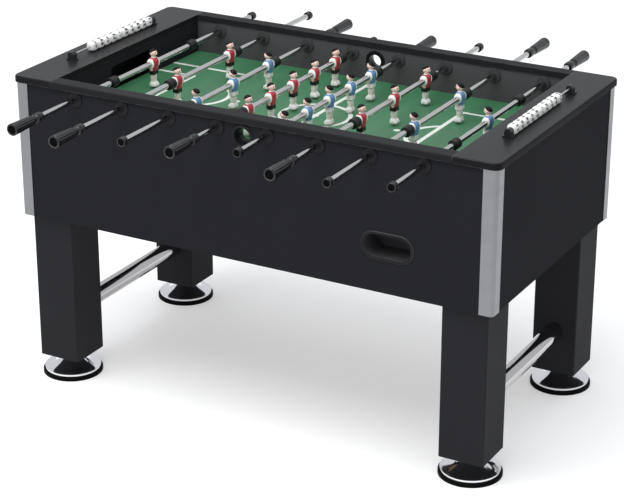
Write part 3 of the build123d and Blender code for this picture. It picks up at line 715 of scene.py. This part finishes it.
# %% Outlines of the shirt, arms and neck
shirt = [
    (-19.2, 0.0, 0.0, 9.8, 12.0),
    (-18.2, 0.0, 0.0, 10.8, 13.2),
    (-13.0, 0.0, 0.0, 10.6, 12.8),
    (-8.0, 0.0, 0.0, 12.2, 13.2),
    (0.0, 0.0, 0.0, 12.9, 13.6),
    (8.0, 0.2, 0.0, 12.5, 14.0),
    (11.5, 0.2, 0.0, 10.8, 13.8),
    (14.2, 0.1, 0.0, 8.2, 11.2),
    (16.0, 0.2, 0.0, 6.0, 7.4),
]
collar = [
    (14.6, 0.3, 0.0, 6.4, 7.0),
    (16.8, 0.4, 0.0, 6.4, 6.6),
    (17.8, 0.5, 0.0, 5.4, 5.8),
]
neck = [(14.5, 0.3, 0.0, 5.0, 5.2), (21.0, 0.9, 0.0, 4.8, 5.0)]
sleeve = [
    (-12.0, 0.9, 14.0, 5.0, 2.8),
    (-11.2, 0.8, 14.2, 6.0, 3.4),
    (-8.0, 0.3, 14.3, 9.8, 3.6),
    (0.0, 0.0, 14.4, 11.8, 3.6),
    (8.0, -0.3, 14.3, 10.0, 3.6),
    (11.0, -0.4, 13.8, 7.4, 3.4),
    (13.4, -0.4, 12.8, 4.8, 2.8),
]
hand = [
    (-20.2, 2.2, 13.6, 2.4, 1.8),
    (-19.0, 2.2, 13.8, 3.8, 2.7),
    (-15.0, 1.8, 13.9, 4.4, 2.8),
    (-11.0, 1.0, 14.0, 4.2, 2.7),
]
print("outlines of a shirt:", len(shirt), "and of a sleeve:", len(sleeve))

# %% [markdown]
# The head starts as a ball of points. The jaw is drawn in towards the chin, and the hair is a second, slightly
# larger ball that only stands proud above the hairline: below it, its points sink under the skin.

# %% Head and hair
JAW_NARROWING = 0.28
CHIN_FORWARD = 0.06
FOREHEAD = 0.5
FRINGE, CROWN_SIDE = 0.66, 0.38
HAIRLINE_SLOPE, HAIRLINE_WIDTH = 0.5, 0.14
HAIR_UNDER, HAIR_RISE = 0.9, 0.16


def ball(mesh, centre, radii, material, shape=None, rings=12, count=20):
    """A ball with three radii, whose unit points can be reshaped first."""
    rows = []
    for ring in range(1, rings):
        polar = math.pi * ring / rings - math.pi / 2
        row = []
        for step in range(count):
            angle = 2 * math.pi * step / count
            level = math.cos(polar)
            unit = Vector((level * math.cos(angle), level * math.sin(angle), math.sin(polar)))
            if shape:
                unit = shape(unit)
            row.append(Vector(centre) + Vector([unit[axis] * radii[axis] for axis in range(3)]))
        rows.append(row)
    bridge(mesh, rows, material)


def jaw(unit):
    """Draw the lower half of the head in towards the chin."""
    if unit.z > 0:
        return unit
    narrow = 1 - JAW_NARROWING * unit.z * unit.z
    return Vector((unit.x * narrow + CHIN_FORWARD * unit.z * unit.z, unit.y * narrow, unit.z))


def hairline(unit):
    """Hair stands proud on the crown and the back of the head, and sinks under the skin elsewhere."""
    line = FRINGE if unit.x > FOREHEAD else CROWN_SIDE + HAIRLINE_SLOPE * unit.x
    rise = min(1.0, max(0.0, (unit.z - line) / HAIRLINE_WIDTH + 0.5))
    return unit * (HAIR_UNDER + HAIR_RISE * rise)


# %% [markdown]
# The whole figure is the two sides of the body, mirrored, and then what lies in the middle. Eyes, brows, nose,
# ears and mouth are small rounded shapes, calm and plain, as on any such moulding.


# %% The whole figure
def make_man():
    """One figure in millimetres, facing along X with the rod's axis at the origin."""
    man = bmesh.new()
    for side in (-1, 1):
        loft(man, shoe, SHOE, power=3.2, mirror=side)
        loft(man, leg, LEG, mirror=side)
        loft(man, sock_top, SHOE, mirror=side)
        loft(man, shorts_leg, SHORTS, power=2.8, mirror=side)
        loft(man, sleeve, SLEEVE, power=2.6, mirror=side)
        loft(man, hand, SKIN, mirror=side)
        ball(man, (0.6, 9.9 * side, 28.4), (2.2, 1.2, 3.0), SKIN, rings=8, count=12)
        ball(man, (10.6, 3.6 * side, 30.1), (1.1, 1.3, 1.0), MARK, rings=6, count=10)
        ball(man, (10.0, 3.7 * side, 32.6), (1.1, 2.0, 0.45), HAIR, rings=6, count=10)
    loft(man, shorts_seat, SHORTS, power=2.8)
    loft(man, shirt, SHIRT, power=2.8, count=28)
    loft(man, collar, SLEEVE, power=2.2)
    loft(man, neck, SKIN, power=2.0)
    ball(man, (0.9, 0.0, 28.6), (10.9, 9.8, 11.0), SKIN, jaw)
    ball(man, (0.7, 0.0, 28.8), (11.2, 10.2, 10.5), HAIR, hairline, rings=16, count=28)
    ball(man, (11.9, 0.0, 27.5), (1.7, 1.5, 2.5), SKIN, rings=8, count=12)
    ball(man, (9.9, 0.0, 23.4), (1.0, 2.5, 0.55), MARK, rings=6, count=12)
    return man


sample = make_man()
print("faces of a man:", len(sample.faces))
sample.free()

# %% [markdown]
# Two teams share the mould and differ in paint. The red side wears black shorts, the blue side white ones, and
# both have white sleeves and stockings. A list of paints in the order of the figure's materials is a kit.

# %% Paint the teams
skin = painted("skin_paint", (0.97, 0.73, 0.65), (0.91, 0.63, 0.54))
hair = painted("hair_paint", (0.007, 0.006, 0.006), (0.004, 0.004, 0.004), sheen=0.5, specular=0.15)
red = painted("red_paint", (0.5, 0.04, 0.052), (0.36, 0.024, 0.034))
blue = painted("blue_paint", (0.14, 0.31, 0.54), (0.09, 0.22, 0.42))
white = painted("white_paint", (0.93, 0.92, 0.9), (0.86, 0.85, 0.82))
cream = painted("cream_paint", (0.92, 0.86, 0.79), (0.82, 0.76, 0.69))
black = painted("black_paint", (0.012, 0.012, 0.013), (0.007, 0.007, 0.007))
red_team = [skin, hair, red, white, black, cream, white, black]
blue_team = [skin, hair, blue, white, white, cream, white, black]
print("paints in a kit:", len(set(red_team)), "and", len(set(blue_team)))

# %% [markdown]
# The frame says where each rod's men stand: the first and the last touch the ends of the node's box, and the
# others share the room between them evenly. The red men face one way and the blue men the other.

# %% Set the men on their rods
MAN_WIDTH = 36.0 * MM
MEN = (1, 2, 3, 5, 5, 3, 2, 1)
RED_RODS = (1, 2, 4, 6)
rod_height = 846.0 * MM


def rod_middle(number):
    """The X of a rod's axis."""
    low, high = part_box(f"rod_{number}_bumpers")
    return (low.x + high.x) / 2


for number, count in zip(RODS, MEN):
    node = f"rod_{number}_men"
    low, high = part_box(node)
    first, last = low.y + MAN_WIDTH / 2, high.y - MAN_WIDTH / 2
    is_red = number in RED_RODS
    team = bmesh.new()
    for index in range(count):
        share = index / (count - 1) if count > 1 else 0.5
        at = Vector((rod_middle(number), first + (last - first) * share, rod_height))
        facing = Matrix.Rotation(0.0 if is_red else math.pi, 4, "Z")
        one = make_man()
        one.transform(Matrix.Translation(at) @ facing @ Matrix.Scale(MM, 4))
        merge(team, one)
    kit, slot = (red_team, "men_red") if is_red else (blue_team, "men_blue")
    finish_piece(f"men_of_rod_{number}", team, kit, f"rod_{number}_turning", [node], crease=50.0)
print("men:", sum(MEN))

# %% [markdown]
# ## Grips and end caps
# A grip is turned on a lathe and then fluted. It has a knob where it meets the rod, a narrow neck, and a barrel
# that swells towards its end. The other end of the rod has a plain cap with a raised rim. A dull plug sits in
# the end of each. A profile is a list of radii and distances in millimetres, as a turner would mark them.

# %% Profiles of a grip and a cap
GRIP_LENGTH = 128.0
CAP_LENGTH = 18.0
ROD_RADIUS = 8.0
BARREL_START, BARREL_END = 46.0, 124.0
BARREL_RADIUS, BARREL_SWELL = 13.2, 3.2
BARREL_STEPS = 24
grip_profile = [(ROD_RADIUS, 4.0), (10.6, 4.0), (12.0, 4.9), (12.8, 6.6), (13.0, 9.0), (13.0, 13.0)]
grip_profile += [(12.4, 13.6), (12.4, 14.4), (13.0, 15.0), (13.0, 24.0), (12.6, 27.0), (11.4, 29.5)]
grip_profile += [(9.9, 31.2), (9.3, 33.5), (9.3, 37.5), (10.0, 40.0), (11.6, 42.0), (12.7, 44.0)]
for step in range(BARREL_STEPS + 1):
    share = step / BARREL_STEPS
    along = BARREL_START + (BARREL_END - BARREL_START) * share
    grip_profile.append((BARREL_RADIUS + BARREL_SWELL * share, along))
grip_profile += [(16.2, 126.0), (15.4, 127.3), (14.0, 128.0), (12.4, 127.9), (11.8, 127.2)]
grip_profile += [(11.8, 125.5), (0.4, 125.5)]
cap_profile = [(ROD_RADIUS, 0.0), (11.2, 0.0), (12.0, 0.8), (12.0, 3.2), (11.5, 3.8), (11.5, 4.6), (12.0, 5.2)]
cap_profile += [(12.0, 14.0), (11.7, 16.6), (10.9, 17.7), (10.0, 18.0), (9.3, 17.6), (9.0, 16.8), (0.4, 16.8)]
grip_plug = [(11.6, 125.3), (11.6, 126.2), (11.0, 126.6), (0.4, 126.6)]
cap_plug = [(8.9, 16.6), (8.9, 17.0), (8.4, 17.2), (0.4, 17.2)]
print("points on a grip:", len(grip_profile))

# %% [markdown]
# The barrel has fourteen shallow hollows for a firm hold. They could be cut out with a boolean, but a small
# change of the radius does the same with even faces. It follows a cosine around the barrel and fades out at
# both ends, where the grip is round again.

# %% Flutes of a grip
FLUTES = 14
FLUTE_DEPTH = 1.2 * MM
FADE_IN, FADE_OUT = 6.0, 8.0


def grip_flute(angle, distance):
    """How deep the hollows cut at an angle and a distance along the grip."""
    along = distance / MM
    fade_in = min(1.0, max(0.0, (along - BARREL_START) / FADE_IN))
    fade_out = min(1.0, max(0.0, (BARREL_END - along) / FADE_OUT))
    lobe = 0.5 + 0.5 * math.cos(FLUTES * angle)
    return FLUTE_DEPTH * lobe * fade_in * fade_out


barrel_middle = (BARREL_START + BARREL_END) / 2 * MM
print("depth of a flute (mm):", round(grip_flute(0.0, barrel_middle) / MM, 2))

# %% [markdown]
# Each team plays from its own side of the table: the red rods have their grips at the front, and the blue rods
# at the rear. The ends of the node's box are the outer ends of the grip and of the cap.

# %% Grips and caps on all rods
for number in RODS:
    node = f"rod_{number}_grip_and_cap"
    low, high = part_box(node)
    side = -1 if number in RED_RODS else 1
    grip_end, cap_end = (high.y, low.y) if side > 0 else (low.y, high.y)
    x = rod_middle(number)
    ends = bmesh.new()
    grip_start = (x, grip_end - side * GRIP_LENGTH * MM, rod_height)
    turn(ends, in_metres(grip_profile), grip_start, side, 0, count=112, flute=grip_flute)
    turn(ends, in_metres(grip_plug), grip_start, side, 1)
    cap_start = (x, cap_end + side * CAP_LENGTH * MM, rod_height)
    turn(ends, in_metres(cap_profile), cap_start, -side, 0)
    turn(ends, in_metres(cap_plug), cap_start, -side, 1)
    blacks = [grip_black, plug_black]
    finish_piece(f"grip_and_cap_of_rod_{number}", ends, blacks, f"rod_{number}_turning", [node])
print("grips and caps:", 2 * len(RODS))

# %% [markdown]
# ## Bumpers
# The bumpers are rubber sleeves that stop a rod softly against the wall. They are turned as well, with two
# grooves that let the rubber give.

# %% Rubber bumpers
BUMPER_HALF = 14.0
bumper_profile = [(ROD_RADIUS, -BUMPER_HALF), (11.6, -BUMPER_HALF), (13.2, -13.4), (14.0, -12.0), (14.2, -10.4)]
bumper_profile += [(14.2, -6.0), (13.7, -5.4), (12.9, -5.0), (12.9, -4.2), (13.7, -3.8), (14.2, -3.2)]
bumper_profile += [(radius, -distance) for radius, distance in reversed(bumper_profile)]
for number in RODS:
    node = f"rod_{number}_bumpers"
    low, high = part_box(node)
    pair = bmesh.new()
    for y in (low.y + BUMPER_HALF * MM, high.y - BUMPER_HALF * MM):
        turn(pair, in_metres(bumper_profile), (rod_middle(number), y, rod_height), 1, 0)
    carriage = f"rod_{number}_carriage"
    finish_piece(f"bumpers_of_rod_{number}", pair, [bumper_rubber], carriage, [node])
print("bumpers:", 2 * len(RODS))

# %% [markdown]
# ## Score beads
# Ten white beads on each wire count the goals. A bead is a squarish barrel with well rounded ends, and carries
# its number on its flats and on its upper corners. Its cross-section is a superellipse: a power of 2 would
# give a circle, and more makes it squarer.

# %% Finish and profile of a bead
bead_white = moulded("bead_white", (0.86, 0.86, 0.84), (0.92, 0.92, 0.9), 0.3, relief=0.03, wear=0.3)
figure_black = painted("figure_black", (0.008, 0.008, 0.008), (0.005, 0.005, 0.005))
BEAD_HALF = 12.9 * MM
BEAD_BORE = 2.5 * MM
BEAD_POWER = 3.4
BEAD_PITCH = 30.0 * MM
BEADS_IN_GROUP = 5
bead_ends = [(2.5, 14.7), (6.4, 14.7), (8.6, 14.0), (10.5, 12.4), (11.8, 10.2), (12.6, 7.4), (12.9, 4.0)]
bead_profile = [(radius, -distance) for radius, distance in bead_ends]
bead_profile += [(radius, distance) for radius, distance in reversed(bead_ends)]
print("length of a bead (mm):", bead_profile[-1][1] - bead_profile[0][1])

# %% [markdown]
# A bead is a stack of rings along the wire, as a turned shape is, but the rings are squarish except at the
# bore. The first and the last ring are joined as well, and that is the wall of the bore.


# %% One bead
def bead_reach(angle):
    """Distance from the wire to the bead's surface at an angle, as a share of half its height."""
    c, s = abs(math.cos(angle)), abs(math.sin(angle))
    return (c**BEAD_POWER + s**BEAD_POWER) ** (-1 / BEAD_POWER)


def add_bead(mesh, centre, count=48):
    """A squarish barrel around the wire, with its bore left open."""
    rings = []
    for radius, distance in bead_profile:
        ring = []
        for step in range(count):
            angle = 2 * math.pi * step / count
            square = bead_reach(angle) if radius * MM > BEAD_BORE else 1.0
            reach = radius * MM * square
            ring.append(centre + Vector((reach * math.cos(angle), distance * MM, reach * math.sin(angle))))
        rings.append(ring)
    loops = bridge(mesh, rings, 0, close_ends=False)
    for here in range(count):
        after = (here + 1) % count
        mesh.faces.new((loops[-1][here], loops[-1][after], loops[0][after], loops[0][here]))


# %% [markdown]
# The figures are text, made bold by an offset of its outline and then turned into thin meshes. To print a
# figure on a bead, its flat points are wrapped around the wire: the width of the figure becomes an angle, and
# its height runs along the wire, so that the players at the long sides can read it. The strokes are cut finely
# first, so that they can follow the round corners.

# %% Figures
INK = 0.08 * MM
BOLD = 0.07
FIGURE_TIPS = (-90, -45, 0, 45, 90)
FIGURE_SIZES = {1: 14.0 * MM, 2: 8.5 * MM}


def figure_mesh(words, size, bold):
    """Text turned into a flat, finely cut mesh around the origin."""
    curve = bpy.data.curves.new("figure", "FONT")
    curve.body = words
    curve.size = size
    curve.align_x = "CENTER"
    curve.align_y = "CENTER"
    curve.offset = bold
    text = bpy.data.objects.new("figure", curve)
    bpy.context.scene.collection.objects.link(text)
    graph = bpy.context.evaluated_depsgraph_get()
    data = bpy.data.meshes.new_from_object(text.evaluated_get(graph))
    bpy.data.objects.remove(text)
    bpy.data.curves.remove(curve)
    figure = bmesh.new()
    figure.from_mesh(data)
    bpy.data.meshes.remove(data)
    bmesh.ops.triangulate(figure, faces=figure.faces)
    bmesh.ops.subdivide_edges(figure, edges=figure.edges, cuts=2, use_grid_fill=True)
    return figure


def print_figures(mesh, words, centre, reader):
    """Wrap a bead's number onto its top, its upper corners and its sides, to be read from one long side."""
    size = FIGURE_SIZES[len(words)]
    for tip in FIGURE_TIPS:
        figure = figure_mesh(words, size, BOLD * size)
        for point in figure.verts:
            angle = math.radians(tip) + reader * point.co.x / BEAD_HALF
            reach = BEAD_HALF * bead_reach(angle) + INK
            point.co = centre + Vector((reach * math.sin(angle), reader * point.co.y, reach * math.cos(angle)))
        merge(mesh, figure)


print("figures on a bead:", len(FIGURE_TIPS))

# %% [markdown]
# A counter has two groups of five beads, and each group slides as one. So each group is one piece on its own
# body, and its figures are a second piece that rides along. The two counters are turned half around from each
# other, so the direction of counting changes with the end.

# %% Beads on both wires
for end_name, end in (("left", -1), ("right", 1)):
    for group, first_number in (("first", 1), ("last", 1 + BEADS_IN_GROUP)):
        node = f"{end_name}_{group}_beads"
        low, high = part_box(node)
        middle = (low + high) / 2
        beads = bmesh.new()
        figures = bmesh.new()
        for index in range(BEADS_IN_GROUP):
            y = middle.y + end * BEAD_PITCH * (index - (BEADS_IN_GROUP - 1) / 2)
            at = Vector((middle.x, y, middle.z))
            add_bead(beads, at)
            print_figures(figures, str(first_number + index), at, end)
        finish_piece(f"{end_name}_{group}_score_beads", beads, [bead_white], node, [node])
        finish_piece(f"{end_name}_{group}_bead_figures", figures, [figure_black], node)
print("beads on a wire:", 2 * BEADS_IN_GROUP)

# %% [markdown]
# ## Floor, light and camera
# The table stands on a plain pale floor, in the soft light of a studio: one broad light above, and a much
# weaker one from the front left. The floor keeps a light shadow. It glows a little for the rays that come from
# the camera or from a mirroring surface, so that it looks almost white there and adds no light to the table.

# %% Floor and world
bpy.ops.mesh.primitive_plane_add(size=40.0, location=(0, 0, cad_low.z))
floor = bpy.context.object
floor.name = "studio_floor"
floor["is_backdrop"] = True
FLOOR_GREY = (0.88, 0.88, 0.88)
FLOOR_GLOW = (0.3, 0.3, 0.3)
material, tree, shader = start_material("floor_white", FLOOR_GREY, roughness=0.9, specular_ior_level=0.0)
path = put(tree, "ShaderNodeLightPath").outputs
mirrored = maths(tree, "MAXIMUM", path["Is Glossy Ray"], path["Is Transmission Ray"])
watched = maths(tree, "MAXIMUM", path["Is Camera Ray"], mirrored)
tree.links.new(blend(tree, watched, (0.0, 0.0, 0.0), FLOOR_GLOW), shader.inputs["Emission Color"])
shader.inputs["Emission Strength"].default_value = 1.0
floor.data.materials.append(material)

SKY_COLOUR, SKY_STRENGTH = (0.9, 0.92, 0.95, 1.0), 0.8
world = bpy.data.worlds.new("studio")
bpy.context.scene.world = world
world.use_nodes = True
sky = world.node_tree.nodes["Background"]
sky.inputs["Color"].default_value = SKY_COLOUR
sky.inputs["Strength"].default_value = SKY_STRENGTH
print("floor at (mm):", round(cad_low.z / MM, 2))

# %% [markdown]
# Area lights give the soft edges of a studio's light boxes: the larger the square, the softer the shadow. The
# light above does nearly all of the work, and the other one only lifts the faces that it leaves in the dark.


# %% Lights
def soft_light(name, location, target, size, power):
    """A square area light that looks at a point."""
    data = bpy.data.lights.new(name, "AREA")
    data.size = size
    data.energy = power
    light = bpy.data.objects.new(name, data)
    light.location = location
    light.rotation_euler = (Vector(target) - Vector(location)).to_track_quat("-Z", "Y").to_euler()
    bpy.context.scene.collection.objects.link(light)


soft_light("light_above", (-0.3, -1.3, 4.0), (0, 0, 0.8), 3.0, 107.0)
soft_light("light_front_left", (-3.4, -3.6, 2.6), (0, 0, 0.7), 2.2, 12.0)
print("lights:", len(bpy.data.lights))

# %% [markdown]
# The camera stands to the right of the table's front and looks down on it, with a long lens, so that upright
# edges stay almost parallel. Its place was solved from the edges of the table top and the cabinet.

# %% Camera
LOOK_DOWN, LOOK_LEFT = math.radians(22.612), math.radians(29.177)
lens = bpy.data.cameras.new("camera")
lens.lens = 116.49
lens.sensor_width = 36.0
camera = bpy.data.objects.new("camera", lens)
camera.location = (2.4932, -4.4828, 2.5261)
camera.rotation_euler = (math.pi / 2 - LOOK_DOWN, 0.0, LOOK_LEFT)
bpy.context.scene.collection.objects.link(camera)
bpy.context.scene.camera = camera
bpy.context.scene.view_settings.view_transform = "Standard"
print("camera at:", [round(v, 3) for v in camera.location])

# %% [markdown]
# ## Measure and finish
# The new pieces must not make the table larger than its solids. A print shows how far the scene's box
# stands out past the solids' box on each side.

# %% Sizes
low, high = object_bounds()
print("stands proud by (mm):", [round(max(0.0, v) / MM, 2) for v in (*(cad_low - low), *(high - cad_high))])
